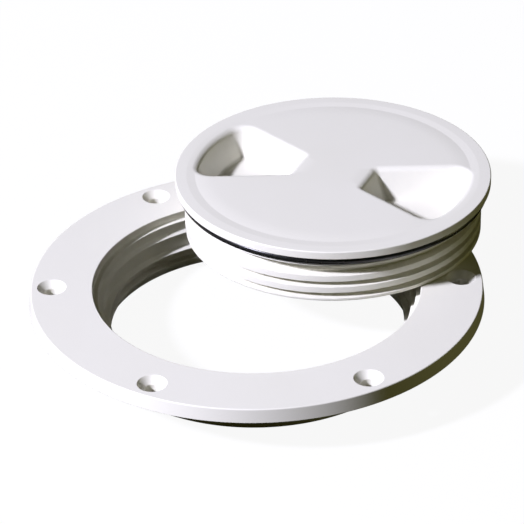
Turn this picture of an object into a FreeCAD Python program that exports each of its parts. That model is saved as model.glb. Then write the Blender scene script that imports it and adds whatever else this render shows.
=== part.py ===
import FreeCAD, Part

import math
import os

# Deck inspection plate, 100 mm clear size, with its screw lid taken out and laid on the ring.
# Frame: origin on the ring's axis in the deck plane, which is the flange's underside, +Z up.
# The ring's depths are measured down from its top face, the lid's from the top of its rim.
# Millimetres and degrees.

# Ring: flange
FLANGE_OVERHANG = 19.0
FLANGE_THICKNESS = 4.6
FLANGE_EDGE_DRAFT = 0.6
FLANGE_EDGE_BEVEL = 0.35

# Ring: screw holes
SCREW_COUNT = 6
SCREW_EDGE_DISTANCE = 6.7
SCREW_HOLE_RADIUS = 2.5
COUNTERSINK_RADIUS = 4.65
COUNTERSINK_HALF_ANGLE = 45.0
HOLE_OVERRUN = 1.0

# Ring: collar below the deck
COLLAR_DEPTH = 19.9
COLLAR_WALL = 3.8
COLLAR_ROOT_BEVEL = 1.0
COLLAR_FOOT_BEVEL = 0.5

# Ring: steps of the bore
THREAD_BORE_RADIUS = 49.2
SEAL_BORE_DEPTH = 6.6
SEAL_BORE_LEAD = 0.7
RIM_CLEARANCE = 0.7
SEAT_EDGE_BEVEL = 0.3

# Thread: one start, right-hand, ridge in the ring and groove in the lid
THREAD_PITCH = 4.1
THREAD_FLANK_ANGLE = 14.0
RIDGE_HEIGHT = 1.9
RIDGE_CREST_WIDTH = 0.8
RIDGE_ROOT_SINK = 0.5
RIDGE_DEPTH = 12.2
RIDGE_ANGLE = 123.0
RIDGE_TOP_ANGLE = 273.0
RIDGE_TURNS = 1.7
RIDGE_FADE_ANGLE = 20.0
THREAD_CREST_CLEARANCE = 0.5
THREAD_ROOT_CLEARANCE = 0.4
THREAD_FLANK_CLEARANCE = 0.2
STRETCH_ANGLE = 90.0
POINTS_PER_STRETCH = 6

# Lid: rim and top
RIM_LAP = 0.9
RIM_THICKNESS = 2.8
RIM_EDGE_BEVEL = 0.4
RIM_BAND = 5.5
FIELD_FALL_WIDTH = 11.1
FIELD_SINK = 0.1
FIELD_EDGE_SINK = 0.75
TOP_THICKNESS = 2.6

# Lid: threaded wall
LID_HEIGHT = 19.8
WALL_THICKNESS = 2.6
NECK_RELIEF = 0.2
LIP_TOP_DEPTH = 5.8
LIP_BOTTOM_DEPTH = 7.2
LIP_CLEARANCE = 0.6
NECK_END_DEPTH = 9.0
NECK_END_SLOPE = 0.9
WALL_FOOT_BEVEL = 0.5
WALL_ROOT_BEVEL = 1.2

# Lid: finger recesses
RECESS_COUNT = 2
RECESS_DEPTH = 9.5
RECESS_HALF_ANGLE = 24.0
RECESS_EDGE_OFFSET = 1.1
RECESS_OUTER_LAND = 1.5
RECESS_INNER_REACH = 12.3
RECESS_DRAFT = 4.4
RECESS_OUTER_CORNER = 5.5
RECESS_INNER_CORNER = 1.8
RECESS_FLOOR_ROUND = 1.4
RECESS_MOUTH_ROUND = 2.5
RECESS_WALL = 2.2
ROUNDING_FLATS = 3

# Seal
SEAL_SECTION = 2.62
SEAL_SIDES = 8
SEAL_GROOVE_SET = 1.0
SEAL_FIT = 0.03
SEAL_SQUEEZE = 0.15
SEAL_DEPTH = 4.3

# Place of the lid on the ring, and how far round it stands when it is screwed home
LID_X = 25.9
LID_Y = 36.1
LID_TURN = 155.6
LID_HOME_TURN = -118.0

ridge_crest_radius = THREAD_BORE_RADIUS - RIDGE_HEIGHT
lid_crest_radius = THREAD_BORE_RADIUS - THREAD_CREST_CLEARANCE
lid_root_radius = ridge_crest_radius - THREAD_ROOT_CLEARANCE
lid_bore_radius = lid_root_radius - WALL_THICKNESS
neck_radius = lid_root_radius - NECK_RELIEF
lip_radius = THREAD_BORE_RADIUS - LIP_CLEARANCE
seal_groove_radius = THREAD_BORE_RADIUS - SEAL_GROOVE_SET
seal_centre_radius = seal_groove_radius + SEAL_FIT + SEAL_SECTION / 2
seal_bore_radius = seal_centre_radius + SEAL_SECTION / 2 - SEAL_SQUEEZE
rim_radius = seal_bore_radius + RIM_LAP
rim_seat_radius = rim_radius + RIM_CLEARANCE
field_radius = rim_radius - RIM_BAND
field_flat_radius = field_radius - FIELD_FALL_WIDTH
recess_outer_radius = field_radius - RECESS_OUTER_LAND
collar_radius = THREAD_BORE_RADIUS + COLLAR_WALL
flange_radius = collar_radius + FLANGE_OVERHANG
flange_foot_radius = flange_radius + FLANGE_EDGE_DRAFT
screw_circle_radius = flange_radius - SCREW_EDGE_DISTANCE
flank_slope = math.tan(math.radians(THREAD_FLANK_ANGLE))


def revolved(points):
    """A solid of revolution about Z from corners given as radius and height."""
    corners = [FreeCAD.Vector(radius, 0, height) for radius, height in points]
    face = Part.Face(Part.makePolygon(corners + corners[:1]))
    return face.revolve(FreeCAD.Vector(0, 0, 0), FreeCAD.Vector(0, 0, 1), 360)


def circle_edges(solid, radius, height):
    """The full circles about Z that have this radius and height."""
    found = []
    for edge in solid.Edges:
        if not isinstance(edge.Curve, Part.Circle):
            continue
        centre = edge.Curve.Center
        near_axis = math.hypot(centre.x, centre.y) < 1e-6
        if near_axis and abs(edge.Curve.Radius - radius) < 1e-4 and abs(centre.z - height) < 1e-4:
            found.append(edge)
    return found


def bevelled(solid, bevels):
    """Bevels circles about Z, each given as radius, height and size of the bevel."""
    for radius, height, size in bevels:
        solid = solid.makeChamfer(size, circle_edges(solid, radius, height))
    return solid


def ridge_depth(angle):
    """Depth of the middle of the ring's thread ridge at an angle round the ring."""
    return RIDGE_DEPTH - THREAD_PITCH * (angle - RIDGE_ANGLE) / 360


def ridge_width(radius):
    """Width of the thread ridge at a radius, with its flanks carried on in a straight line."""
    return RIDGE_CREST_WIDTH + 2 * (radius - ridge_crest_radius) * flank_slope


def helical_strip(first_angle, last_angle, height_at, inner_at, outer_radius, spare_width):
    """A solid band that winds round Z, as wide as the thread ridge plus a spare width."""
    stretches = math.ceil(abs(last_angle - first_angle) / STRETCH_ANGLE)
    steps = stretches * POINTS_PER_STRETCH
    lines = [[], [], [], []]
    for step in range(steps + 1):
        angle = first_angle + (last_angle - first_angle) * step / steps
        inner = inner_at(angle)
        turn = math.radians(angle)
        corners = [(inner, -1), (inner, 1), (outer_radius, 1), (outer_radius, -1)]
        for line, (radius, side) in zip(lines, corners):
            height = height_at(angle) + side * (ridge_width(radius) + spare_width) / 2
            line.append(FreeCAD.Vector(radius * math.cos(turn), radius * math.sin(turn), height))
    curves = []
    for line in lines:
        curve = Part.BSplineCurve()
        curve.interpolate(line)
        curves.append(curve)
    faces = []
    for stretch in range(stretches):
        edges = []
        for curve in curves:
            knots = curve.getKnots()
            part_of_curve = curve.copy()
            first_knot = knots[stretch * POINTS_PER_STRETCH]
            last_knot = knots[(stretch + 1) * POINTS_PER_STRETCH]
            part_of_curve.segment(first_knot, last_knot)
            edges.append(part_of_curve.toShape())
        faces += [Part.makeRuledSurface(edges[i], edges[(i + 1) % 4]) for i in range(4)]
    for end in (0, -1):
        corners = [line[end] for line in lines]
        faces.append(Part.Face(Part.makePolygon(corners + corners[:1])))
    shell = Part.makeShell(faces)
    shell.sewShape()
    solid = Part.makeSolid(shell)
    if solid.Volume < 0:
        solid.reverse()
    return solid


def thread_ridge():
    """The ring's thread: a ridge that fades into the wall at both ends."""
    last_angle = RIDGE_TOP_ANGLE
    first_angle = last_angle - 360 * RIDGE_TURNS
    sunk_radius = THREAD_BORE_RADIUS + RIDGE_ROOT_SINK / 2

    def crest_at(angle):
        to_end = min(angle - first_angle, last_angle - angle)
        share = min(1, to_end / RIDGE_FADE_ANGLE)
        return sunk_radius + (ridge_crest_radius - sunk_radius) * share

    def height_at(angle):
        return FLANGE_THICKNESS - ridge_depth(angle)

    wall_radius = THREAD_BORE_RADIUS + RIDGE_ROOT_SINK
    return helical_strip(first_angle, last_angle, height_at, crest_at, wall_radius, 0)


def screw_holes(solid):
    """Cuts the ring of countersunk screw holes through the flange."""
    spread = math.tan(math.radians(COUNTERSINK_HALF_ANGLE))
    cone_height = (COUNTERSINK_RADIUS - SCREW_HOLE_RADIUS) / spread
    drill = Part.makeCylinder(SCREW_HOLE_RADIUS, FLANGE_THICKNESS + 2 * HOLE_OVERRUN)
    drill.translate(FreeCAD.Vector(0, 0, -HOLE_OVERRUN))
    cone = Part.makeCone(
        SCREW_HOLE_RADIUS,
        COUNTERSINK_RADIUS + HOLE_OVERRUN * spread,
        cone_height + HOLE_OVERRUN,
    )
    cone.translate(FreeCAD.Vector(0, 0, FLANGE_THICKNESS - cone_height))
    cutter = drill.fuse(cone)
    cutter.translate(FreeCAD.Vector(screw_circle_radius, 0, 0))
    for index in range(SCREW_COUNT):
        hole = cutter.copy()
        hole.rotate(FreeCAD.Vector(0, 0, 0), FreeCAD.Vector(0, 0, 1), index * 360 / SCREW_COUNT)
        solid = solid.cut(hole)
    return solid


def deck_ring():
    """The ring that stays screwed to the deck: flange, collar, stepped bore and thread."""
    top = FLANGE_THICKNESS
    foot = top - COLLAR_DEPTH
    seat = top - RIM_THICKNESS
    step = top - SEAL_BORE_DEPTH
    solid = revolved([
        (THREAD_BORE_RADIUS, foot),
        (collar_radius, foot),
        (collar_radius, 0),
        (flange_foot_radius, 0),
        (flange_radius, top),
        (rim_seat_radius, top),
        (rim_seat_radius, seat),
        (seal_bore_radius, seat),
        (seal_bore_radius, step + SEAL_BORE_LEAD),
        (THREAD_BORE_RADIUS, step),
    ])
    solid = bevelled(solid, [
        (flange_radius, top, FLANGE_EDGE_BEVEL),
        (rim_seat_radius, top, SEAT_EDGE_BEVEL),
        (seal_bore_radius, seat, SEAT_EDGE_BEVEL),
        (collar_radius, 0, COLLAR_ROOT_BEVEL),
        (collar_radius, foot, COLLAR_FOOT_BEVEL),
    ])
    solid = screw_holes(solid)
    return solid.fuse(thread_ridge())


def fan(centre, arm, turn):
    """Points round a centre, from the end of an arm through a turn, a few flats apart."""
    points = []
    for step in range(ROUNDING_FLATS + 1):
        angle = turn * step / ROUNDING_FLATS
        across = arm.x * math.cos(angle) - arm.y * math.sin(angle)
        up = arm.x * math.sin(angle) + arm.y * math.cos(angle)
        points.append(centre + FreeCAD.Vector(across, up, 0))
    return points


def softened(before, corner, after, radius):
    """A corner of a section, rounded by a few flats."""
    back = (before - corner).normalize()
    ahead = (after - corner).normalize()
    turn = math.pi - back.getAngle(ahead)
    centre = corner + (back + ahead).normalize() * (radius / math.cos(turn / 2))
    arm = corner + back * (radius * math.tan(turn / 2)) - centre
    sense = 1 if ahead.cross(back).z > 0 else -1
    return fan(centre, arm, sense * turn)


def recess_outline(spread, height):
    """The outline of a finger recess towards +X, moved outwards all round by the spread."""
    half = math.radians(RECESS_HALF_ANGLE)
    along = FreeCAD.Vector(math.cos(half), math.sin(half), 0)
    out = FreeCAD.Vector(-math.sin(half), math.cos(half), 0)
    inwards = FreeCAD.Vector(-1, 0, 0)
    offset = RECESS_EDGE_OFFSET + spread
    outer = recess_outer_radius + spread
    inner = RECESS_INNER_REACH - spread
    outer_corner = max(RECESS_INNER_CORNER, RECESS_OUTER_CORNER + spread)
    inner_corner = RECESS_INNER_CORNER + max(0, spread)

    reach = math.sqrt((outer - outer_corner) ** 2 - (offset - outer_corner) ** 2)
    outer_centre = along * reach + out * (offset - outer_corner)
    outwards = FreeCAD.Vector(outer_centre).normalize()
    inner_x = inner + inner_corner
    inner_y = (offset - inner_corner + inner_x * math.sin(half)) / math.cos(half)
    inner_centre = FreeCAD.Vector(inner_x, inner_y, 0)

    side = fan(inner_centre, inwards * inner_corner, -inwards.getAngle(out))
    side += fan(outer_centre, out * outer_corner, -out.getAngle(outwards))
    left = [FreeCAD.Vector(point.x, point.y, height) for point in side]
    right = [FreeCAD.Vector(point.x, -point.y, height) for point in reversed(side)]
    edges = [Part.makeLine(*pair) for pair in zip(left, left[1:])]
    edges.append(Part.Arc(left[-1], FreeCAD.Vector(outer, 0, height), right[0]).toShape())
    edges += [Part.makeLine(*pair) for pair in zip(right, right[1:])]
    edges.append(Part.makeLine(right[-1], left[0]))
    return Part.Wire(edges)


def recess_block(grow, mouth_round):
    """The drafted block of one finger recess, larger all round by a wall."""
    slope = RECESS_DRAFT / RECESS_DEPTH
    low = -RECESS_DEPTH - grow
    floor = FreeCAD.Vector(low * slope + grow, low, 0)
    mouth = FreeCAD.Vector(grow, 0, 0)
    inside = FreeCAD.Vector(floor.x - RECESS_INNER_REACH, low, 0)
    outside = FreeCAD.Vector(mouth.x + RECESS_INNER_REACH, 0, 0)
    section = softened(inside, floor, mouth, RECESS_FLOOR_ROUND)
    if mouth_round:
        section += softened(floor, mouth, outside, mouth_round)
        section.append(section[-1] + FreeCAD.Vector(0, HOLE_OVERRUN, 0))
    else:
        section.append(mouth)
    wires = [recess_outline(point.x, point.y) for point in section]
    return Part.makeLoft(wires, True, True)


def lid_groove():
    """The lid's thread: the ring's ridge with clearance, run out into the neck and the foot."""
    def height_at(angle):
        return -ridge_depth(angle + LID_HOME_TURN)

    def angle_at(depth):
        return RIDGE_ANGLE - LID_HOME_TURN + (RIDGE_DEPTH - depth) * 360 / THREAD_PITCH

    def root_at(angle):
        return lid_root_radius

    first_angle = angle_at(LID_HEIGHT + THREAD_PITCH / 2)
    last_angle = angle_at(NECK_END_DEPTH - THREAD_PITCH / 4)
    mouth_radius = THREAD_BORE_RADIUS + THREAD_ROOT_CLEARANCE
    spare_width = 2 * THREAD_FLANK_CLEARANCE
    return helical_strip(first_angle, last_angle, height_at, root_at, mouth_radius, spare_width)


def screw_lid():
    """The lid: rim, crowned field, seal groove, threaded wall and two finger recesses."""
    groove_top = -RIM_THICKNESS
    solid = revolved([
        (0, -TOP_THICKNESS),
        (0, 0),
        (rim_radius, 0),
        (rim_radius, groove_top),
        (seal_groove_radius, groove_top),
        (seal_groove_radius, -LIP_TOP_DEPTH),
        (lip_radius, -LIP_TOP_DEPTH),
        (lip_radius, -LIP_BOTTOM_DEPTH),
        (neck_radius, -LIP_BOTTOM_DEPTH),
        (neck_radius, -NECK_END_DEPTH),
        (lid_crest_radius, -NECK_END_DEPTH - NECK_END_SLOPE),
        (lid_crest_radius, -LID_HEIGHT),
        (lid_bore_radius, -LID_HEIGHT),
        (lid_bore_radius, -TOP_THICKNESS),
    ])
    solid = bevelled(solid, [
        (rim_radius, 0, RIM_EDGE_BEVEL),
        (lid_crest_radius, -LID_HEIGHT, WALL_FOOT_BEVEL),
        (lid_bore_radius, -TOP_THICKNESS, WALL_ROOT_BEVEL),
    ])
    solid = solid.cut(field_cutter())
    pocket = recess_block(RECESS_WALL, 0)
    inside = Part.makeCylinder(lid_bore_radius + WALL_THICKNESS / 2, LID_HEIGHT)
    inside.translate(FreeCAD.Vector(0, 0, -LID_HEIGHT - TOP_THICKNESS / 2))
    pocket = pocket.common(inside)
    cutter = recess_block(0, RECESS_MOUTH_ROUND)
    for index in range(RECESS_COUNT):
        turn = index * 360 / RECESS_COUNT
        wall = pocket.copy()
        wall.rotate(FreeCAD.Vector(0, 0, 0), FreeCAD.Vector(0, 0, 1), turn)
        solid = solid.fuse(wall)
    for index in range(RECESS_COUNT):
        turn = index * 360 / RECESS_COUNT
        recess = cutter.copy()
        recess.rotate(FreeCAD.Vector(0, 0, 0), FreeCAD.Vector(0, 0, 1), turn)
        solid = solid.cut(recess)
    return solid.cut(lid_groove())


def field_cutter():
    """What the slightly sunken field, which falls towards its edge, takes off the lid's top."""
    return revolved([
        (0, -FIELD_SINK),
        (field_flat_radius, -FIELD_SINK),
        (field_radius, -FIELD_EDGE_SINK),
        (field_radius, HOLE_OVERRUN),
        (0, HOLE_OVERRUN),
    ])


def o_ring():
    """The rubber ring in the groove under the lid's rim, its round section drawn with flats."""
    points = []
    for side in range(SEAL_SIDES):
        angle = 2 * math.pi * side / SEAL_SIDES
        across = seal_centre_radius + SEAL_SECTION / 2 * math.cos(angle)
        up = SEAL_SECTION / 2 * math.sin(angle) - SEAL_DEPTH
        points.append((across, up))
    return revolved(points)


def laid_on_ring(shape):
    """Moves a piece of the lid from the lid's own frame to its place on the ring."""
    shape.rotate(FreeCAD.Vector(0, 0, 0), FreeCAD.Vector(0, 0, 1), LID_TURN)
    shape.translate(FreeCAD.Vector(LID_X, LID_Y, FLANGE_THICKNESS + LID_HEIGHT))
    return shape


def main():
    os.makedirs("parts", exist_ok=True)
    nodes = {
        "deck_ring": deck_ring(),
        "screw_lid": laid_on_ring(screw_lid()),
        "o_ring": laid_on_ring(o_ring()),
    }
    for name, shape in nodes.items():
        shape.exportStep("parts/" + name + ".step")
        print(name, "solids", len(shape.Solids), "valid", shape.isValid(), "mm3", round(shape.Volume))


main()
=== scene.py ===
# %% [markdown]
# # A deck inspection plate
#
# This lesson dresses a screw-down plate for a boat's deck: a flanged ring that is screwed down for
# good, and a lid that screws into it on a coarse moulded thread, with a rubber O-ring under its rim.
# The lid has been screwed out and laid on the ring. The solids come ready made from CAD, at their
# real size and place, and this file builds the pieces that are seen around them.

# %% Load the solids
import math

import bpy
from mathutils import Matrix, Vector


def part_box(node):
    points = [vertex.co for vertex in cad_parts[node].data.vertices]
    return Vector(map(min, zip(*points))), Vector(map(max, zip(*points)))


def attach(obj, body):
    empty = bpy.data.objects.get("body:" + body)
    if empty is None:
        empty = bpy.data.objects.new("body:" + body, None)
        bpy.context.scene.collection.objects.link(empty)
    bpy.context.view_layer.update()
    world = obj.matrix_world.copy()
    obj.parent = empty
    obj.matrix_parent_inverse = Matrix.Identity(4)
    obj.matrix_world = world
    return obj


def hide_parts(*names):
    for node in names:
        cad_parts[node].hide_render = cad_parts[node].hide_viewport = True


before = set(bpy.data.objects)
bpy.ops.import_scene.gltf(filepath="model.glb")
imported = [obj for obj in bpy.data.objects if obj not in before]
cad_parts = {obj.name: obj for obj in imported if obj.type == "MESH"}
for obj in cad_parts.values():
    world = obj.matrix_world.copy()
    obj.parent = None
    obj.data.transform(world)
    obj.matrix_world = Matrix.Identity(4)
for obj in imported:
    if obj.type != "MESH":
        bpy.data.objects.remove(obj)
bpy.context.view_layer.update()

# %% [markdown]
# ## Where things are
#
# Every size below is in millimetres and every angle in degrees, as on a drawing. The ring's axis is
# the Z axis and the flange's underside, which lies on the deck, is at height 0. The lid has heights
# of its own, counted from its highest point. Its place on the ring is read from the lid's own box,
# so it can't drift away from the solids.

# %% Places
MM = 0.001


def box_mm(node):
    """Lowest and highest corner of a CAD node, in millimetres."""
    low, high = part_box(node)
    return Vector(low) / MM, Vector(high) / MM


ring_low, ring_high = box_mm("deck_ring")
lid_low, lid_high = box_mm("screw_lid")

FLANGE_TOP = ring_high.z
RING_FOOT = ring_low.z
LID_AXIS_X = (lid_low.x + lid_high.x) / 2
LID_AXIS_Y = (lid_low.y + lid_high.y) / 2
LID_TOP = lid_high.z
LID_TURN = 155.6

print("flange top", round(FLANGE_TOP, 2), "ring foot", round(RING_FOOT, 2))
print("lid axis", round(LID_AXIS_X, 2), round(LID_AXIS_Y, 2), "lid top", round(LID_TOP, 2))

# %% [markdown]
# ## The camera
#
# The photo was taken from well back with a long lens, about 30 degrees above the table, so the two
# circles look almost like plain ellipses. A camera turned to face the ring is placed first, and then
# turned a little, so that the ring sits left of and below the middle of the square picture.

# %% Camera
FOCAL_PIXELS = 2759.0
PICTURE_PIXELS = 524.0
SENSOR_MM = 36.0
CAMERA_DISTANCE = 879.7
CAMERA_ELEVATION = 31.604
CAMERA_AZIMUTH = -0.6
CAMERA_ROLL = -1.0837
CAMERA_CLIP_START = 50.0
RING_PIXEL_X = 256.63
RING_PIXEL_Y = 282.24


def photo_camera():
    """A camera that sees the ring's top face centre at its pixel in the picture."""
    raised = math.radians(CAMERA_ELEVATION)
    around = Matrix.Rotation(math.radians(CAMERA_AZIMUTH), 3, "Z")
    forward = around @ Vector((0.0, math.cos(raised), -math.sin(raised)))
    upward = around @ Vector((0.0, math.sin(raised), math.cos(raised)))
    sideways = around @ Vector((1.0, 0.0, 0.0))
    roll = math.radians(CAMERA_ROLL)
    right = sideways * math.cos(roll) + upward * math.sin(roll)
    up = upward * math.cos(roll) - sideways * math.sin(roll)

    middle = PICTURE_PIXELS / 2
    pan = math.atan((RING_PIXEL_X - middle) / FOCAL_PIXELS)
    tilt = math.atan((middle - RING_PIXEL_Y) / FOCAL_PIXELS * math.cos(pan))
    facing = Matrix((right, up, -forward)).transposed()
    turned = facing @ Matrix.Rotation(-tilt, 3, "X") @ Matrix.Rotation(pan, 3, "Y")

    target = Vector((0.0, 0.0, FLANGE_TOP))
    place = (target - forward * CAMERA_DISTANCE) * MM
    data = bpy.data.cameras.new("photo_camera")
    data.lens = FOCAL_PIXELS / PICTURE_PIXELS * SENSOR_MM
    data.sensor_width = SENSOR_MM
    data.clip_start = CAMERA_CLIP_START * MM
    camera = bpy.data.objects.new("photo_camera", data)
    camera.matrix_world = Matrix.Translation(place) @ turned.to_4x4()
    bpy.context.scene.collection.objects.link(camera)
    bpy.context.scene.camera = camera
    return camera


camera = photo_camera()
print("lens", round(camera.data.lens, 1), "mm")
print("camera at", [round(v, 3) for v in camera.location])

# %% [markdown]
# ## Nodes and colours
#
# Materials and Geometry Nodes are both trees of nodes, so one function adds a node to either: it
# takes the node's kind, what goes into its sockets (a value, or another node's output), and its
# settings. Colours are written as the hex values that a paint chart gives, and one function turns
# them into the linear numbers that Blender works in.

# %% Helpers
def add_node(tree, kind, sockets=None, **settings):
    """Adds a node with its settings, and fills its sockets with values or links."""
    node = tree.nodes.new(kind)
    for name, value in settings.items():
        setattr(node, name, value)
    for key, value in (sockets or {}).items():
        if isinstance(value, bpy.types.NodeSocket):
            tree.links.new(value, node.inputs[key])
        else:
            node.inputs[key].default_value = value
    return node


def linear(hex_colour):
    """An sRGB hex colour as linear red, green, blue and alpha."""
    channels = []
    for start in (1, 3, 5):
        value = int(hex_colour[start:start + 2], 16) / 255
        channels.append(value / 12.92 if value <= 0.04045 else ((value + 0.055) / 1.055) ** 2.4)
    return (*channels, 1.0)


print("a pale grey in linear light", [round(v, 3) for v in linear("#E0E0E0")])

# %% [markdown]
# ## The plastic
#
# Plates like this are moulded from ABS with enough white in it to stand the sun. The mould is finely
# spark-eroded, which leaves a satin skin with a grain of a few tenths of a millimetre, too fine to
# see here, so it is drawn a little coarser. Thick plastic also cools unevenly, and that leaves the
# flat faces very slightly wavy. Both are bumps of a few micrometres: they break up the highlight and
# nothing more. The colour drifts by a shade over a few centimetres, as filled plastic does.

# %% Moulded ABS
ABS_PALE = "#E3E1D4"
ABS_DEEP = "#DFDDCE"
ABS_IOR = 1.54
ABS_ROUGHNESS = 0.42
ABS_ROUGHNESS_SPREAD = 0.05
NOISE_LOW = 0.3
NOISE_HIGH = 0.7
DRIFT_SIZE = 30.8
GRAIN_SIZE = 0.9
GRAIN_HEIGHT = 0.012
WAVE_SIZE = 22.0
WAVE_HEIGHT = 0.05


def moulded_abs(name):
    """White ABS from a finely eroded mould: satin, with a fine grain and a slight waviness."""
    material = bpy.data.materials.new(name)
    material.use_nodes = True
    tree = material.node_tree
    shader = tree.nodes["Principled BSDF"]
    shader.inputs["IOR"].default_value = ABS_IOR
    place = add_node(tree, "ShaderNodeTexCoord").outputs["Object"]

    drift = add_node(tree, "ShaderNodeTexNoise",
                     {"Vector": place, "Scale": 1 / (DRIFT_SIZE * MM), "Detail": 3.0})
    tint = add_node(tree, "ShaderNodeMix",
                    {"Factor": drift.outputs["Fac"], "A": linear(ABS_PALE), "B": linear(ABS_DEEP)},
                    data_type="RGBA")
    tree.links.new(tint.outputs["Result"], shader.inputs["Base Color"])

    grain = add_node(tree, "ShaderNodeTexNoise",
                     {"Vector": place, "Scale": 1 / (GRAIN_SIZE * MM), "Detail": 2.0})
    sheen = add_node(tree, "ShaderNodeMapRange",
                     {"Value": grain.outputs["Fac"], "From Min": NOISE_LOW, "From Max": NOISE_HIGH,
                      "To Min": ABS_ROUGHNESS - ABS_ROUGHNESS_SPREAD,
                      "To Max": ABS_ROUGHNESS + ABS_ROUGHNESS_SPREAD})
    tree.links.new(sheen.outputs["Result"], shader.inputs["Roughness"])

    wave = add_node(tree, "ShaderNodeTexNoise",
                    {"Vector": place, "Scale": 1 / (WAVE_SIZE * MM), "Detail": 1.0})
    wavy = add_node(tree, "ShaderNodeBump",
                    {"Height": wave.outputs["Fac"], "Strength": 1.0, "Distance": WAVE_HEIGHT * MM})
    fine = add_node(tree, "ShaderNodeBump",
                    {"Height": grain.outputs["Fac"], "Strength": 1.0,
                     "Distance": GRAIN_HEIGHT * MM, "Normal": wavy.outputs["Normal"]})
    tree.links.new(fine.outputs["Normal"], shader.inputs["Normal"])
    return material


ring_abs = moulded_abs("white_abs_satin_ring")
lid_abs = moulded_abs("white_abs_satin_lid")
print("materials", ring_abs.name, lid_abs.name)

# %% [markdown]
# ## The rubber
#
# The O-ring is nitrile rubber, black from the carbon in it, and lightly greased so that the lid
# turns. Rubber this black reflects only a few percent, so nearly all that the eye gets from it is
# the soft line of light along its top.

# %% Nitrile rubber
RUBBER_BLACK = "#0C0C0C"
RUBBER_BLOOM = "#141413"
RUBBER_IOR = 1.52
GREASED_ROUGHNESS = 0.22
DRY_ROUGHNESS = 0.34
BLOOM_SIZE = 3.0
BLOOM_HEIGHT = 0.01


def nitrile_rubber():
    """Black O-ring rubber with a thin, uneven film of grease."""
    material = bpy.data.materials.new("black_nitrile_rubber")
    material.use_nodes = True
    tree = material.node_tree
    shader = tree.nodes["Principled BSDF"]
    shader.inputs["IOR"].default_value = RUBBER_IOR
    place = add_node(tree, "ShaderNodeTexCoord").outputs["Object"]
    bloom = add_node(tree, "ShaderNodeTexNoise",
                     {"Vector": place, "Scale": 1 / (BLOOM_SIZE * MM), "Detail": 4.0})
    tint = add_node(tree, "ShaderNodeMix",
                    {"Factor": bloom.outputs["Fac"], "A": linear(RUBBER_BLACK),
                     "B": linear(RUBBER_BLOOM)}, data_type="RGBA")
    tree.links.new(tint.outputs["Result"], shader.inputs["Base Color"])
    film = add_node(tree, "ShaderNodeMapRange",
                    {"Value": bloom.outputs["Fac"], "To Min": GREASED_ROUGHNESS,
                     "To Max": DRY_ROUGHNESS})
    tree.links.new(film.outputs["Result"], shader.inputs["Roughness"])
    skin = add_node(tree, "ShaderNodeBump",
                    {"Height": bloom.outputs["Fac"], "Strength": 1.0,
                     "Distance": BLOOM_HEIGHT * MM})
    tree.links.new(skin.outputs["Normal"], shader.inputs["Normal"])
    return material


seal_rubber = nitrile_rubber()
print("material", seal_rubber.name)

# %% [markdown]
# ## Sections with soft corners
#
# A ring and a lid like these are turned shapes: one section, swept round an axis. A moulding has no
# knife edges, so each corner of the section carries its own rounding. A stretch of the section can
# also be given closely spaced points, which the thread needs further on.

# %% Sections
ROUNDING_STEP = 15.0


def soft_corner(before, here, after, rounding):
    """The points of one rounded corner, from the stretch before it to the stretch after it."""
    if rounding == 0:
        return [here]
    back = (before - here).normalized()
    ahead = (after - here).normalized()
    turn = math.pi - back.angle(ahead)
    centre = here + (back + ahead).normalized() * (rounding / math.cos(turn / 2))
    arm = here + back * (rounding * math.tan(turn / 2)) - centre
    sense = -1 if back.cross(ahead) > 0 else 1
    steps = max(2, math.ceil(math.degrees(turn) / ROUNDING_STEP))
    return [centre + Matrix.Rotation(sense * turn * i / steps, 2) @ arm for i in range(steps + 1)]


def soft_section(corners, closed):
    """Points of a section, from corners of (radius, height, rounding, spacing up to the next)."""
    last = len(corners) - 1
    groups = []
    for i, (radius, height, rounding, spacing) in enumerate(corners):
        here = Vector((radius, height))
        before = Vector(corners[i - 1][:2])
        after = Vector(corners[(i + 1) % len(corners)][:2])
        at_end = not closed and i in (0, last)
        groups.append(soft_corner(before, here, after, 0 if at_end else rounding))
    points = []
    for i, group in enumerate(groups):
        points += group
        spacing = corners[i][3]
        following = groups[(i + 1) % len(groups)][0]
        if spacing and (closed or i < last):
            count = max(1, round((following - group[-1]).length / spacing))
            points += [group[-1].lerp(following, k / count) for k in range(1, count)]
    if closed:
        points.append(points[0].copy())
    return points


square_corner = soft_corner(Vector((0, 0)), Vector((1, 0)), Vector((1, 1)), 0.2)
print("a 90 degree corner has", len(square_corner), "points")

# %% [markdown]
# ## Turning a section, and cutting a thread
#
# A lathe in Geometry Nodes: a flat grid with one column for each step round the axis and one row for
# each point of the section is wrapped round the axis. The thread comes from the same tree. A screw
# thread follows a simple rule: its middle climbs by one pitch in each turn. So every point can work
# out how far it is from the nearest turn of the thread, and move inwards there. On the ring's wall
# that raises a ridge, and on the lid's it sinks a groove. It gives soft edges and fading ends, which
# a cut by a second solid wouldn't. Last, points that coincide at the seam are welded.

# %% The lathe
SEAM_WELD = 0.002


def new_tree(name, inputs):
    """An empty Geometry Nodes tree with named inputs."""
    tree = bpy.data.node_groups.new(name, "GeometryNodeTree")
    tree.interface.new_socket(name="Geometry", in_out="INPUT", socket_type="NodeSocketGeometry")
    for label, kind in inputs:
        tree.interface.new_socket(name=label, in_out="INPUT", socket_type="NodeSocket" + kind)
    tree.interface.new_socket(name="Geometry", in_out="OUTPUT", socket_type="NodeSocketGeometry")
    return tree, add_node(tree, "NodeGroupInput").outputs


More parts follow.
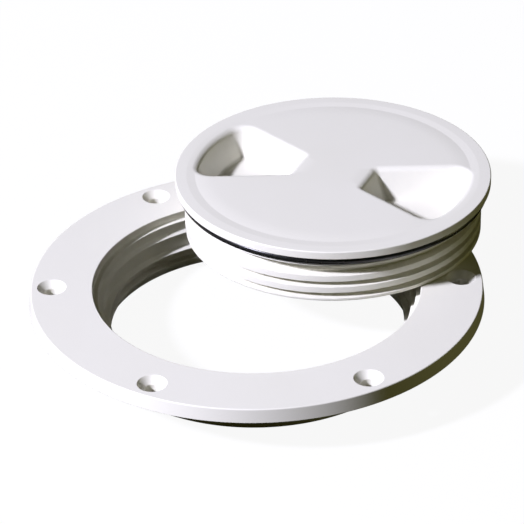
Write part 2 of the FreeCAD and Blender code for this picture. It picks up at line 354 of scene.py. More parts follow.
def lathe_tree():
    """Wraps a section round the Z axis, and moves its marked points onto a screw thread."""
    tree, given = new_tree("lathe", [
        ("Steps", "Int"), ("Material", "Material"), ("Wall Radius", "Float"),
        ("Thread Height", "Float"), ("Pitch", "Float"), ("Middle Height", "Float"),
        ("Crest Width", "Float"), ("Flank Width", "Float"),
        ("First Turn", "Float"), ("Last Turn", "Float"), ("Fade Turns", "Float")])

    # the grid: one column of points for each step round, one row for each point of the section
    size = add_node(tree, "GeometryNodeAttributeDomainSize", {0: given["Geometry"]}, component="MESH")
    rows = size.outputs["Point Count"]
    columns = add_node(tree, "ShaderNodeMath", {0: given["Steps"], 1: 1.0}, operation="ADD")
    grid = add_node(tree, "GeometryNodeMeshGrid", {"Vertices X": columns.outputs[0], "Vertices Y": rows})
    index = add_node(tree, "GeometryNodeInputIndex").outputs[0]
    share = add_node(tree, "ShaderNodeMath", {0: index, 1: rows}, operation="DIVIDE").outputs[0]
    column = add_node(tree, "ShaderNodeMath", {0: share}, operation="FLOOR").outputs[0]
    skipped = add_node(tree, "ShaderNodeMath", {0: column, 1: rows}, operation="MULTIPLY").outputs[0]
    row = add_node(tree, "ShaderNodeMath", {0: index, 1: skipped}, operation="SUBTRACT").outputs[0]
    turn = add_node(tree, "ShaderNodeMath", {0: column, 1: given["Steps"]}, operation="DIVIDE").outputs[0]

    # the section's point for this row, and whether the thread may move it
    place = add_node(tree, "GeometryNodeInputPosition").outputs[0]
    mark = add_node(tree, "GeometryNodeInputNamedAttribute", {"Name": "thread_zone"}, data_type="FLOAT")
    point = add_node(tree, "GeometryNodeSampleIndex",
                     {"Geometry": given["Geometry"], "Value": place, "Index": row},
                     data_type="FLOAT_VECTOR").outputs[0]
    marked = add_node(tree, "GeometryNodeSampleIndex",
                      {"Geometry": given["Geometry"], "Value": mark.outputs[0], "Index": row},
                      data_type="FLOAT").outputs[0]
    across = add_node(tree, "ShaderNodeSeparateXYZ", {0: point})
    radius = across.outputs["X"]
    height = across.outputs["Z"]

    # how far up this point is from the nearest turn of the thread
    risen = add_node(tree, "ShaderNodeMath", {0: height, 1: given["Middle Height"]}, operation="SUBTRACT")
    pitches = add_node(tree, "ShaderNodeMath", {0: risen.outputs[0], 1: given["Pitch"]}, operation="DIVIDE")
    phase = add_node(tree, "ShaderNodeMath", {0: pitches.outputs[0], 1: turn},
                     operation="SUBTRACT").outputs[0]
    nearest = add_node(tree, "ShaderNodeMath", {0: phase}, operation="ROUND").outputs[0]
    off = add_node(tree, "ShaderNodeMath", {0: phase, 1: nearest}, operation="SUBTRACT").outputs[0]
    off_middle = add_node(tree, "ShaderNodeMath", {0: off}, operation="ABSOLUTE").outputs[0]
    distance = add_node(tree, "ShaderNodeMath", {0: off_middle, 1: given["Pitch"]}, operation="MULTIPLY")
    crest = add_node(tree, "ShaderNodeMath", {0: given["Crest Width"], 1: 2.0},
                     operation="DIVIDE").outputs[0]
    root = add_node(tree, "ShaderNodeMath", {0: crest, 1: given["Flank Width"]}, operation="ADD").outputs[0]
    form = add_node(tree, "ShaderNodeMapRange",
                    {"Value": distance.outputs[0], "From Min": crest, "From Max": root,
                     "To Min": 1.0, "To Max": 0.0}, interpolation_type="SMOOTHSTEP").outputs[0]

    # the thread fades in and out over part of a turn at its two ends
    turns = add_node(tree, "ShaderNodeMath", {0: turn, 1: nearest}, operation="ADD").outputs[0]
    from_first = add_node(tree, "ShaderNodeMath", {0: turns, 1: given["First Turn"]}, operation="SUBTRACT")
    to_last = add_node(tree, "ShaderNodeMath", {0: given["Last Turn"], 1: turns}, operation="SUBTRACT")
    to_end = add_node(tree, "ShaderNodeMath", {0: from_first.outputs[0], 1: to_last.outputs[0]},
                      operation="MINIMUM").outputs[0]
    fade = add_node(tree, "ShaderNodeMapRange",
                    {"Value": to_end, "From Min": 0.0, "From Max": given["Fade Turns"]},
                    interpolation_type="SMOOTHSTEP").outputs[0]
    strength = add_node(tree, "ShaderNodeMath", {0: form, 1: fade}, operation="MULTIPLY").outputs[0]

    # move the marked points that stand further out than the thread does here
    depth = add_node(tree, "ShaderNodeMath", {0: strength, 1: given["Thread Height"]}, operation="MULTIPLY")
    surface = add_node(tree, "ShaderNodeMath", {0: given["Wall Radius"], 1: depth.outputs[0]},
                       operation="SUBTRACT")
    excess = add_node(tree, "ShaderNodeMath", {0: radius, 1: surface.outputs[0]}, operation="SUBTRACT")
    above = add_node(tree, "ShaderNodeMath", {0: excess.outputs[0], 1: 0.0}, operation="MAXIMUM")
    moved = add_node(tree, "ShaderNodeMath", {0: above.outputs[0], 1: marked}, operation="MULTIPLY")
    new_radius = add_node(tree, "ShaderNodeMath", {0: radius, 1: moved.outputs[0]}, operation="SUBTRACT")

    # wrap the grid round the axis and close its seam
    angle = add_node(tree, "ShaderNodeMath", {0: turn, 1: math.tau}, operation="MULTIPLY").outputs[0]
    cosine = add_node(tree, "ShaderNodeMath", {0: angle}, operation="COSINE").outputs[0]
    sine = add_node(tree, "ShaderNodeMath", {0: angle}, operation="SINE").outputs[0]
    x = add_node(tree, "ShaderNodeMath", {0: new_radius.outputs[0], 1: cosine}, operation="MULTIPLY")
    y = add_node(tree, "ShaderNodeMath", {0: new_radius.outputs[0], 1: sine}, operation="MULTIPLY")
    target = add_node(tree, "ShaderNodeCombineXYZ", {"X": x.outputs[0], "Y": y.outputs[0], "Z": height})
    wrapped = add_node(tree, "GeometryNodeSetPosition",
                       {"Geometry": grid.outputs["Mesh"], "Position": target.outputs[0]})
    closed = add_node(tree, "GeometryNodeMergeByDistance",
                      {"Geometry": wrapped.outputs[0], "Distance": SEAM_WELD})
    real = add_node(tree, "GeometryNodeRealizeInstances", {0: closed.outputs[0]})
    coated = add_node(tree, "GeometryNodeSetMaterial",
                      {"Geometry": real.outputs[0], "Material": given["Material"]})
    add_node(tree, "NodeGroupOutput", {"Geometry": coated.outputs[0]})
    return tree


lathe = lathe_tree()
print("lathe has", len(lathe.nodes), "nodes")

# %% [markdown]
# Running a tree takes three steps: a throw-away object gets a modifier with the tree, the modifier's
# inputs are filled in, and the result is kept as a plain mesh. An input is addressed by the
# identifier of its socket. What a piece doesn't say about its thread comes from a flat, endless one.

# %% Running a tree
TURN_STEPS = 288
THREAD_PITCH = 4.1
ENDLESS_THREAD = {
    "Wall Radius": 1000.0, "Thread Height": 0.0, "Middle Height": 0.0, "Crest Width": 1.0,
    "Flank Width": 1.0, "First Turn": -100.0, "Last Turn": 100.0, "Fade Turns": 1.0}


def run_tree(tree, mesh, inputs):
    """The mesh that a tree makes of a mesh, with the tree's named inputs filled in."""
    carrier = bpy.data.objects.new("carrier", mesh)
    bpy.context.scene.collection.objects.link(carrier)
    modifier = carrier.modifiers.new("nodes", "NODES")
    modifier.node_group = tree
    names = {item.name: item.identifier for item in tree.interface.items_tree
             if item.in_out == "INPUT"}
    for label, value in inputs.items():
        modifier[names[label]] = value
    bpy.context.view_layer.update()
    evaluated = carrier.evaluated_get(bpy.context.evaluated_depsgraph_get())
    result = bpy.data.meshes.new_from_object(evaluated)
    bpy.data.objects.remove(carrier)
    return result


def turned(points, marked, inputs):
    """Turns a section round the axis. The points that marked() accepts carry the thread."""
    mesh = bpy.data.meshes.new("section")
    links = [(i, i + 1) for i in range(len(points) - 1)]
    mesh.from_pydata([(p.x, 0.0, p.y) for p in points], links, [])
    zone = mesh.attributes.new("thread_zone", "FLOAT", "POINT")
    zone.data.foreach_set("value", [1.0 if marked(p) else 0.0 for p in points])
    settings = {"Steps": TURN_STEPS, "Pitch": THREAD_PITCH, **ENDLESS_THREAD, **inputs}
    return run_tree(lathe, mesh, settings)


print("one step of the lathe is", 360 / TURN_STEPS, "degrees")

# %% [markdown]
# ## Repeating a cut round the axis
#
# Six screw holes and two finger recesses repeat round an axis. A second tree puts copies of a
# cutter round the axis and cuts them all at once, or joins them on. The copies are instances, which
# cost nothing, until the boolean needs them as real meshes. A boolean can leave a few points that
# all but coincide, so points within a micrometre of each other are welded afterwards.

# %% The repeater
CUT_WELD = 0.001


def repeat_tree(name, operation):
    """Repeats a tool round the Z axis and cuts or joins the copies with the piece."""
    tree, given = new_tree(name, [("Tool", "Object"), ("Count", "Int"), ("Material", "Material")])
    points = add_node(tree, "GeometryNodeMeshLine",
                      {"Count": given["Count"], "Offset": (0.0, 0.0, 0.0)}, mode="OFFSET")
    index = add_node(tree, "GeometryNodeInputIndex").outputs[0]
    share = add_node(tree, "ShaderNodeMath", {0: index, 1: given["Count"]}, operation="DIVIDE")
    angle = add_node(tree, "ShaderNodeMath", {0: share.outputs[0], 1: math.tau}, operation="MULTIPLY")
    facing = add_node(tree, "ShaderNodeCombineXYZ", {"Z": angle.outputs[0]})
    tool = add_node(tree, "GeometryNodeObjectInfo", {"Object": given["Tool"]})
    copies = add_node(tree, "GeometryNodeInstanceOnPoints",
                      {"Points": points.outputs[0], "Instance": tool.outputs["Geometry"],
                       "Rotation": facing.outputs[0]})
    real = add_node(tree, "GeometryNodeRealizeInstances", {0: copies.outputs[0]})
    result = add_node(tree, "GeometryNodeMeshBoolean", {"Mesh 2": real.outputs[0]},
                      operation=operation, solver="MANIFOLD")
    side = "Mesh 1" if operation == "DIFFERENCE" else "Mesh 2"
    tree.links.new(given["Geometry"], result.inputs[side])
    welded = add_node(tree, "GeometryNodeMergeByDistance",
                      {"Geometry": result.outputs["Mesh"], "Distance": CUT_WELD})
    coated = add_node(tree, "GeometryNodeSetMaterial",
                      {"Geometry": welded.outputs[0], "Material": given["Material"]})
    add_node(tree, "NodeGroupOutput", {"Geometry": coated.outputs[0]})
    return tree


cut_round = repeat_tree("cut_round", "DIFFERENCE")
join_round = repeat_tree("join_round", "UNION")


def repeated(tree, mesh, tool_mesh, count, material):
    """Runs a repeating tree on a mesh, with a tool made from another mesh."""
    tool = bpy.data.objects.new("tool", tool_mesh)
    bpy.context.scene.collection.objects.link(tool)
    result = run_tree(tree, mesh, {"Tool": tool, "Count": count, "Material": material})
    bpy.data.objects.remove(tool)
    return result


print("repeating trees", cut_round.name, join_round.name)

# %% [markdown]
# ## Finishing a piece
#
# Each finished mesh is scaled from millimetres to metres and moved to its place, so that its object
# can stay at the origin. Edges sharper than 40 degrees stay crisp and all others are shaded smooth.
# The Weighted Normal modifier then lets the large flat faces decide the shading at their borders,
# which keeps them looking flat beside the small roundings.

# %% Finish
CRISP_ANGLE = 40.0


def finished(name, mesh, place, material):
    """Turns a mesh in millimetres into an object in its place, shaded and coated."""
    mesh.transform(Matrix.Scale(MM, 4) @ place)
    mesh.name = name
    mesh.materials.clear()
    mesh.materials.append(material)
    mesh.shade_smooth()
    mesh.set_sharp_from_angle(angle=math.radians(CRISP_ANGLE))
    piece = bpy.data.objects.new(name, mesh)
    bpy.context.scene.collection.objects.link(piece)
    weigh = piece.modifiers.new("weigh", "WEIGHTED_NORMAL")
    weigh.keep_sharp = True
    weigh.mode = "FACE_AREA"
    bpy.context.view_layer.update()
    evaluated = piece.evaluated_get(bpy.context.evaluated_depsgraph_get())
    piece.data = bpy.data.meshes.new_from_object(evaluated)
    piece.data.name = name
    piece.modifiers.clear()
    return piece


ring_place = Matrix.Identity(4)
lid_place = (Matrix.Translation((LID_AXIS_X, LID_AXIS_Y, LID_TOP))
             @ Matrix.Rotation(math.radians(LID_TURN), 4, "Z"))
print("lid place", [round(v, 2) for v in lid_place.translation])

# %% [markdown]
# ## The ring
#
# The real ring is one moulding. Its flange lies on the deck and its collar hangs through the hole in
# the deck. Its bore has three walls, each narrower than the one above: one that takes the lid's rim,
# a smooth one that the O-ring seals on, and one that carries the thread. The thread is a single
# ridge that winds down for 1.7 turns and fades into the wall at both ends.

# %% Ring section
FLANGE_RADIUS = 72.0
FLANGE_FOOT_RADIUS = 72.6
COLLAR_RADIUS = 53.0
RIM_SEAT_RADIUS = 52.3
RIM_SEAT_DEPTH = 2.8
SEAL_BORE_RADIUS = 50.70
SEAL_BORE_DEPTH = 6.6
SEAL_BORE_LEAD = 0.7
THREAD_BORE_RADIUS = 49.2
RIDGE_HEIGHT = 2.1
RIDGE_DEPTH = 12.2
RIDGE_ANGLE = 123.0
RIDGE_TOP_ANGLE = 273.0
RIDGE_TURNS = 1.7
RIDGE_FADE = 20.0
RIDGE_CREST = 0.8
RIDGE_FLANK = 0.5
THREAD_ROWS = 0.1

ring_section = soft_section([
    (THREAD_BORE_RADIUS, RING_FOOT, 0.3, 0),
    (COLLAR_RADIUS, RING_FOOT, 0.5, 0),
    (COLLAR_RADIUS, 0.0, 1.0, 0),
    (FLANGE_FOOT_RADIUS, 0.0, 0.2, 0),
    (FLANGE_RADIUS, FLANGE_TOP, 0.45, 0),
    (RIM_SEAT_RADIUS, FLANGE_TOP, 0.35, 0),
    (RIM_SEAT_RADIUS, FLANGE_TOP - RIM_SEAT_DEPTH, 0.15, 0),
    (SEAL_BORE_RADIUS, FLANGE_TOP - RIM_SEAT_DEPTH, 0.3, 0),
    (SEAL_BORE_RADIUS, FLANGE_TOP - SEAL_BORE_DEPTH + SEAL_BORE_LEAD, 0.2, 0),
    (THREAD_BORE_RADIUS, FLANGE_TOP - SEAL_BORE_DEPTH, 0.2, THREAD_ROWS),
], closed=True)
print("ring section has", len(ring_section), "points")

# %% Ring, turned and threaded
WALL_TOLERANCE = 0.01


def on_thread_wall(point):
    """Whether a point of the ring's section lies on the wall that carries the thread."""
    return abs(point.x - THREAD_BORE_RADIUS) < WALL_TOLERANCE


ring_mesh = turned(ring_section, on_thread_wall, {
    "Material": ring_abs,
    "Wall Radius": THREAD_BORE_RADIUS,
    "Thread Height": RIDGE_HEIGHT,
    "Middle Height": FLANGE_TOP - RIDGE_DEPTH - THREAD_PITCH * RIDGE_ANGLE / 360,
    "Crest Width": RIDGE_CREST,
    "Flank Width": RIDGE_FLANK,
    "First Turn": RIDGE_TOP_ANGLE / 360 - RIDGE_TURNS,
    "Last Turn": RIDGE_TOP_ANGLE / 360,
    "Fade Turns": RIDGE_FADE / 360,
})
print("turned ring", len(ring_mesh.vertices), "points", len(ring_mesh.polygons), "faces")

# %% [markdown]
# Each screw hole is a plain round hole under a 90 degree countersink. The cutter is turned on the
# same lathe, with a flared lip that leaves the hole's mouth slightly rounded, as a mould does.

# %% Screw holes
SCREW_COUNT = 6
SCREW_CIRCLE_RADIUS = 65.3
SCREW_HOLE_RADIUS = 2.5
COUNTERSINK_RADIUS = 4.65
MOUTH_ROUND = 0.2
SCREW_STEPS = 64
TOOL_SPARE = 3.0
TOOL_LIFT = 0.004

cone_height = COUNTERSINK_RADIUS - SCREW_HOLE_RADIUS
screw_section = soft_section([
    (0.0, -TOOL_SPARE, 0, 0),
    (SCREW_HOLE_RADIUS, -TOOL_SPARE, 0, 0),
    (SCREW_HOLE_RADIUS, FLANGE_TOP - cone_height, 0.15, 0),
    (COUNTERSINK_RADIUS, FLANGE_TOP, MOUTH_ROUND, 0),
    (COUNTERSINK_RADIUS + TOOL_SPARE, FLANGE_TOP, 0, 0),
], closed=False)
flare_end = screw_section[-2]
screw_section[-1] = Vector((flare_end.x, FLANGE_TOP + TOOL_SPARE))
screw_section.append(Vector((0.0, FLANGE_TOP + TOOL_SPARE)))
screw_tool = turned(screw_section, lambda point: False, {"Steps": SCREW_STEPS, "Material": ring_abs})
screw_tool.transform(Matrix.Translation((SCREW_CIRCLE_RADIUS, 0.0, TOOL_LIFT)))
ring_mesh = repeated(cut_round, ring_mesh, screw_tool, SCREW_COUNT, ring_abs)
print("ring with holes", len(ring_mesh.polygons), "faces")

# %% Ring, in place
ring = finished("ring_moulding", ring_mesh, ring_place, ring_abs)
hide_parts("deck_ring")
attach(ring, "ring")
print(ring.name, "has", len(ring.data.polygons), "faces")

# %% [markdown]
# ## The lid's section
#
# The lid is a cup turned upside down. Its top has a flat rim and, inside a shallow rounded dip, a
# field that is very slightly crowned, so that water runs off it. Under the rim come the groove for
# the O-ring, a thin lip that keeps it there, a neck, and the wall that carries the thread. The
# thread here is a groove, a little wider than the ridge in the ring, and it runs out into the neck
# above and the foot below. A section with closely spaced points would also do for the lip and the
# neck, but they have no thread, so a few rounded corners are enough.

# %% Lid section
RIM_RADIUS = 51.6
RIM_THICKNESS = 2.8
FIELD_RADIUS = 45.0
FIELD_FLAT_RADIUS = 39.0
FIELD_EDGE_SINK = 0.22
CROWN_RADII = (44, 43, 42, 41, 40, 39, 36, 30, 24, 18, 12, 7, 3, 0)
RIM_FLAT_RADIUS = 47.8
RIM_SINK = 0.07
TOP_THICKNESS = 2.6
LID_HEIGHT = 19.8
LID_BORE_RADIUS = 44.3
LID_CREST_RADIUS = 48.7
LID_ROOT_RADIUS = 46.1
NECK_RADIUS = 46.7
NECK_END_DEPTH = 9.0
NECK_END_SLOPE = 0.9
LIP_RADIUS = 48.6
LIP_EDGE_RADIUS = 49.9
LIP_TOP_DEPTH = 5.75
LIP_EDGE_DEPTH = 6.15
LIP_BOTTOM_DEPTH = 7.2
SEAL_GROOVE_RADIUS = 48.2
LID_HOME_TURN = -118.0
GROOVE_CREST = 1.45
GROOVE_FLANK = 0.3


def field_height(radius):
    """Height of the field at a radius: flat in the middle, and an arc down to its edge."""
    run = FIELD_RADIUS - FIELD_FLAT_RADIUS
    bend = (run * run + FIELD_EDGE_SINK * FIELD_EDGE_SINK) / (2 * FIELD_EDGE_SINK)
    past = max(0.0, radius - FIELD_FLAT_RADIUS)
    return math.sqrt(bend * bend - past * past) - bend


crown = [(radius, field_height(radius), 0, 0) for radius in CROWN_RADII]
lid_section = soft_section([
    (0.0, -TOP_THICKNESS, 0, 8.0),
    (LID_BORE_RADIUS, -TOP_THICKNESS, 1.2, 0),
    (LID_BORE_RADIUS, -LID_HEIGHT, 0.3, 0),
    (LID_CREST_RADIUS, -LID_HEIGHT, 0.45, THREAD_ROWS),
    (LID_CREST_RADIUS, -NECK_END_DEPTH - NECK_END_SLOPE, 0.3, THREAD_ROWS),
    (NECK_RADIUS, -NECK_END_DEPTH, 0.3, 0),
    (NECK_RADIUS, -LIP_BOTTOM_DEPTH, 0.2, 0),
    (LIP_RADIUS, -LIP_BOTTOM_DEPTH, 0.2, 0),
    (LIP_RADIUS, -LIP_EDGE_DEPTH, 0.1, 0),
    (LIP_EDGE_RADIUS, -LIP_EDGE_DEPTH, 0.1, 0),
    (LIP_EDGE_RADIUS, -LIP_TOP_DEPTH, 0.1, 0),
    (SEAL_GROOVE_RADIUS, -LIP_TOP_DEPTH, 0.1, 0),
    (SEAL_GROOVE_RADIUS, -RIM_THICKNESS, 0.2, 0),
    (RIM_RADIUS, -RIM_THICKNESS, 0.25, 0),
    (RIM_RADIUS, -RIM_SINK, 0.4, 0),
    (RIM_FLAT_RADIUS, -RIM_SINK, 5.0, 0),
    (FIELD_RADIUS, field_height(FIELD_RADIUS), 2.0, 0),
] + crown, closed=False)
print("lid section has", len(lid_section), "points")

# %% Lid, turned and threaded
def on_lid_thread(point):
    """Whether a point of the lid's section lies on the wall that carries the thread."""
    return point.x > LID_ROOT_RADIUS and point.y < -NECK_END_DEPTH


lid_mesh = turned(lid_section, on_lid_thread, {
    "Material": lid_abs,
    "Wall Radius": LID_CREST_RADIUS,
    "Thread Height": LID_CREST_RADIUS - LID_ROOT_RADIUS,
    "Middle Height": -RIDGE_DEPTH + THREAD_PITCH * (LID_HOME_TURN - RIDGE_ANGLE) / 360,
    "Crest Width": GROOVE_CREST,
    "Flank Width": GROOVE_FLANK,
})
print("turned lid", len(lid_mesh.vertices), "points", len(lid_mesh.polygons), "faces")

# %% [markdown]
# ## The finger recesses
#
# Two wedge-shaped pockets let a finger and a thumb turn the lid. Their walls lean, so that the
# moulding leaves the mould, and meet the floor and the top in soft curves. One outline drawn at
# several heights makes the pocket: the loft joins each outline to the next. A larger loft of the
# same form, joined on under the top first, gives the pocket its own wall.

# %% Recess outline
RECESS_COUNT = 2
RECESS_DEPTH = 9.5
RECESS_HALF_ANGLE = 24.0
RECESS_EDGE_OFFSET = 1.1
RECESS_OUTER_RADIUS = 44.6
RECESS_INNER_REACH = 12.3
RECESS_DRAFT = 4.4
RECESS_OUTER_CORNER = 5.5
RECESS_INNER_CORNER = 1.8
RECESS_FLOOR_ROUND = 1.4
RECESS_MOUTH_ROUND = 2.5
RECESS_WALL = 2.2
CORNER_STEPS = 8
SIDE_STEPS = 16
ARC_STEPS = 24


def fan(centre, radius, first, last, steps):
    """Points on an arc round a centre, from one direction to another."""
    start = math.atan2(first.y, first.x)
    turn = math.atan2(first.cross(last), first.dot(last))
    return [centre + Vector((math.cos(start + turn * i / steps), math.sin(start + turn * i / steps)))
            * radius for i in range(steps + 1)]


def recess_outline(spread, reach_limit):
    """One recess towards +X seen from above, moved outwards all round by the spread."""
    half = math.radians(RECESS_HALF_ANGLE)
    along = Vector((math.cos(half), math.sin(half)))
    out = Vector((-math.sin(half), math.cos(half)))
    inwards = Vector((-1.0, 0.0))
    offset = RECESS_EDGE_OFFSET + spread
    outer = min(RECESS_OUTER_RADIUS + spread, reach_limit)
    inner = RECESS_INNER_REACH - spread
    outer_corner = max(RECESS_INNER_CORNER, RECESS_OUTER_CORNER + spread)
    inner_corner = RECESS_INNER_CORNER + max(0.0, spread)

    reach = math.sqrt((outer - outer_corner) ** 2 - (offset - outer_corner) ** 2)
    outer_centre = along * reach + out * (offset - outer_corner)
    outwards = outer_centre.normalized()
    inner_x = inner + inner_corner
    inner_y = (offset - inner_corner + inner_x * math.sin(half)) / math.cos(half)
    inner_centre = Vector((inner_x, inner_y))

    near = fan(inner_centre, inner_corner, inwards, out, CORNER_STEPS)
    far = fan(outer_centre, outer_corner, out, outwards, CORNER_STEPS)
    side = [near[-1].lerp(far[0], i / SIDE_STEPS) for i in range(1, SIDE_STEPS)]
    left = near + side + far
    mirrored = [Vector((p.x, -p.y)) for p in reversed(left)]
    arc = fan(Vector((0.0, 0.0)), outer, left[-1], mirrored[0], ARC_STEPS)[1:-1]
    return left + arc + mirrored


print("recess outline has", len(recess_outline(0.0, math.inf)), "points")

# %% [markdown]
# The mouth of the pocket has to follow the top it opens in, which falls away towards its rim. So the
# upper part of the cutter is lowered by as much as the top falls there, and the part below it less
# and less, down to a depth where it stays as it is.

# %% Recess lofts
LOWERED_FROM = -4.0
LOWERED_RUN = 2.5


def top_height(radius):
    """Height of the lid's top at a radius: the field, and the slope from its edge to the rim."""
    share = min(1.0, max(0.0, (RIM_FLAT_RADIUS - radius) / (RIM_FLAT_RADIUS - FIELD_RADIUS)))
    return field_height(min(radius, FIELD_RADIUS)) * share - RIM_SINK * (1.0 - share)


def loft(outlines):
    """A closed mesh through outlines of (height, points), from the lowest to the highest."""
    count = len(outlines[0][1])
    points = [(p.x, p.y, height) for height, outline in outlines for p in outline]
    faces = []
    for level in range(len(outlines) - 1):
        low = level * count
        for i in range(count):
            j = (i + 1) % count
            faces.append((low + i, low + count + i, low + count + j, low + j))
    faces.append(tuple(range(count)))
    faces.append(tuple(reversed(range((len(outlines) - 1) * count, len(outlines) * count))))
    mesh = bpy.data.meshes.new("loft")
    mesh.from_pydata(points, [], faces)
    return mesh


def recess_loft(grow, reach_limit, mouth_round):
    """A finger recess as a solid, larger all round by a wall, and with or without a flared mouth."""
    slope = RECESS_DRAFT / RECESS_DEPTH
    low = -RECESS_DEPTH - grow
    floor = Vector((low * slope + grow, low))
    mouth = Vector((grow, 0.0))
    floor_side = floor - Vector((1.0, 0.0))
    top_side = mouth + Vector((1.0, 0.0))
    section = soft_corner(floor_side, floor, mouth, RECESS_FLOOR_ROUND)
    if mouth_round:
        section += soft_corner(floor, mouth, top_side, mouth_round)
        section.append(section[-1] + Vector((0.0, TOOL_SPARE)))
    else:
        inside_top = -TOP_THICKNESS / 2
        section.append(floor.lerp(mouth, 1 - inside_top / low))
    return loft([(p.y, recess_outline(p.x, reach_limit)) for p in section])


pocket_tool = recess_loft(RECESS_WALL, (LID_BORE_RADIUS + LID_ROOT_RADIUS) / 2, 0)
recess_tool = recess_loft(0.0, math.inf, RECESS_MOUTH_ROUND)
for vertex in recess_tool.vertices:
    share = min(1.0, max(0.0, (vertex.co.z - LOWERED_FROM) / LOWERED_RUN))
    vertex.co.z += share * (top_height(math.hypot(vertex.co.x, vertex.co.y)) + TOOL_LIFT)
print("recess cutter has", len(recess_tool.polygons), "faces")

# %% Lid, in place
lid_mesh = repeated(join_round, lid_mesh, pocket_tool, RECESS_COUNT, lid_abs)
lid_mesh = repeated(cut_round, lid_mesh, recess_tool, RECESS_COUNT, lid_abs)
lid = finished("lid_moulding", lid_mesh, lid_place, lid_abs)
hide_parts("screw_lid")
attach(lid, "lid")
print(lid.name, "has", len(lid.data.polygons), "faces")

# %% [markdown]
# ## The O-ring
#
# The last piece is the simplest turned shape of all: a round section, swept round the axis.

# %% O-ring
SEAL_SECTION = 2.62
SEAL_CENTRE_RADIUS = 49.54
SEAL_DEPTH = 4.3
SEAL_POINTS = 24

seal_section = []
for i in range(SEAL_POINTS + 1):
    angle = math.tau * i / SEAL_POINTS
    seal_section.append(Vector((SEAL_CENTRE_RADIUS + SEAL_SECTION / 2 * math.cos(angle),
                                SEAL_SECTION / 2 * math.sin(angle) - SEAL_DEPTH)))
seal_mesh = turned(seal_section, lambda point: False, {"Material": seal_rubber})
seal = finished("rubber_o_ring", seal_mesh, lid_place, seal_rubber)
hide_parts("o_ring")
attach(seal, "seal")
print(seal.name, "has", len(seal.data.polygons), "faces")

# %% [markdown]
# ## The floor
#
# A product like this is shot on a white sheet. The camera sees a white floor with a faint trace of
# the object's shadow in it. What the object itself sees is a darker floor, because a bright one
# would light the bore from below and wash out its steps.

# %% Floor
FLOOR_WHITE = "#FFFFFF"
FLOOR_PAPER = "#F2F1EE"
FLOOR_SEEN_BY_OBJECT = "#35331B"
FLOOR_GLOW_SHARE = 0.93
FLOOR_SIZE = 6.0


def floor_material():
    """White paper to the camera, and a darker card to everything else."""
    material = bpy.data.materials.new("white_paper_sheet")
    material.use_nodes = True
    tree = material.node_tree
    tree.nodes.clear()
    path = add_node(tree, "ShaderNodeLightPath")
    glow = add_node(tree, "ShaderNodeEmission", {"Color": linear(FLOOR_WHITE), "Strength": 1.0})
    paper = add_node(tree, "ShaderNodeBsdfDiffuse", {"Color": linear(FLOOR_PAPER)})
    seen = add_node(tree, "ShaderNodeMixShader",
                    {0: FLOOR_GLOW_SHARE, 1: paper.outputs[0], 2: glow.outputs[0]})
    card = add_node(tree, "ShaderNodeBsdfDiffuse", {"Color": linear(FLOOR_SEEN_BY_OBJECT)})
    both = add_node(tree, "ShaderNodeMixShader",
                    {0: path.outputs["Is Camera Ray"], 1: card.outputs[0], 2: seen.outputs[0]})
    add_node(tree, "ShaderNodeOutputMaterial", {"Surface": both.outputs[0]})
    return material


def make_floor():
    """A large sheet under the ring's foot."""
    half = FLOOR_SIZE / 2
    height = RING_FOOT * MM
    mesh = bpy.data.meshes.new("paper_sheet")
    corners = [(-half, -half), (half, -half), (half, half), (-half, half)]
    mesh.from_pydata([(x, y, height) for x, y in corners], [], [(0, 1, 2, 3)])
    mesh.materials.append(floor_material())
    floor = bpy.data.objects.new("paper_sheet", mesh)
    bpy.context.scene.collection.objects.link(floor)
    return floor


floor = make_floor()
print("floor at", round(RING_FOOT, 2), "mm")

# %% [markdown]
# ## The light
#
# One lamp does most of the work: a small soft box on the left, somewhat in front and 36 degrees up,
# which the shadows of the lid and of the bore's steps give away. A weak card low on the right lifts
# the lid's far wall a little, and the room fills the shadows with a dim, yellowish light.

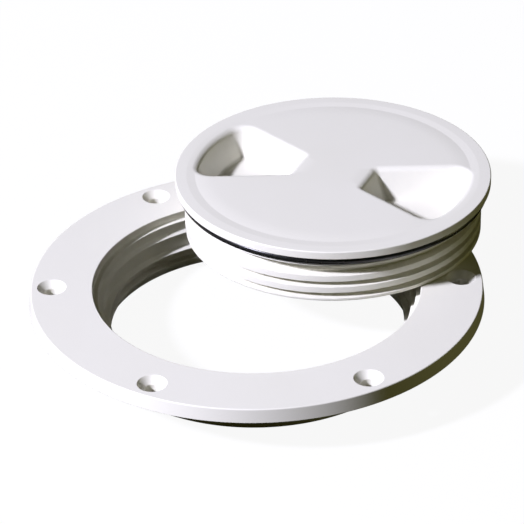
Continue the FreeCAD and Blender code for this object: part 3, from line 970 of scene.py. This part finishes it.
# %% Lamps
KEY_AZIMUTH = 206.0
KEY_ELEVATION = 36.0
KEY_DISTANCE = 3.0
KEY_SIZE = 0.24
KEY_WATTS = 207.0
KEY_COLOUR = "#E8E8FF"
CARD_AZIMUTH = 0.0
CARD_ELEVATION = 3.0
CARD_DISTANCE = 1.2
CARD_SIZE = 0.4
CARD_WATTS = 1.6
CARD_COLOUR = "#E8E49A"
ROOM_COLOUR = "#D3D36C"
ROOM_STRENGTH = 0.035


def soft_box(name, azimuth, elevation, distance, size, watts, colour):
    """A square area lamp that faces the ring from a direction given in degrees."""
    data = bpy.data.lights.new(name, "AREA")
    data.shape = "SQUARE"
    data.size = size
    data.energy = watts
    data.color = linear(colour)[:3]
    lamp = bpy.data.objects.new(name, data)
    across = math.radians(azimuth)
    raised = math.radians(elevation)
    towards = Vector((math.cos(across) * math.cos(raised), math.sin(across) * math.cos(raised),
                      math.sin(raised)))
    lamp.location = towards * distance
    lamp.rotation_euler = towards.to_track_quat("Z", "Y").to_euler()
    bpy.context.scene.collection.objects.link(lamp)
    return lamp


def room_light():
    """A dim, warm room that the camera sees as white."""
    world = bpy.data.worlds.new("room")
    world.use_nodes = True
    tree = world.node_tree
    tree.nodes.clear()
    path = add_node(tree, "ShaderNodeLightPath")
    room = add_node(tree, "ShaderNodeBackground",
                    {"Color": linear(ROOM_COLOUR), "Strength": ROOM_STRENGTH})
    white = add_node(tree, "ShaderNodeBackground", {"Color": linear(FLOOR_WHITE), "Strength": 1.0})
    both = add_node(tree, "ShaderNodeMixShader",
                    {0: path.outputs["Is Camera Ray"], 1: room.outputs[0], 2: white.outputs[0]})
    add_node(tree, "ShaderNodeOutputWorld", {"Surface": both.outputs[0]})
    bpy.context.scene.world = world


key = soft_box("key", KEY_AZIMUTH, KEY_ELEVATION, KEY_DISTANCE, KEY_SIZE, KEY_WATTS, KEY_COLOUR)
card = soft_box("card", CARD_AZIMUTH, CARD_ELEVATION, CARD_DISTANCE, CARD_SIZE, CARD_WATTS,
                CARD_COLOUR)
room_light()
bpy.context.scene.view_settings.view_transform = "Standard"
print("key lamp at", [round(v, 2) for v in key.location])

# %% [markdown]
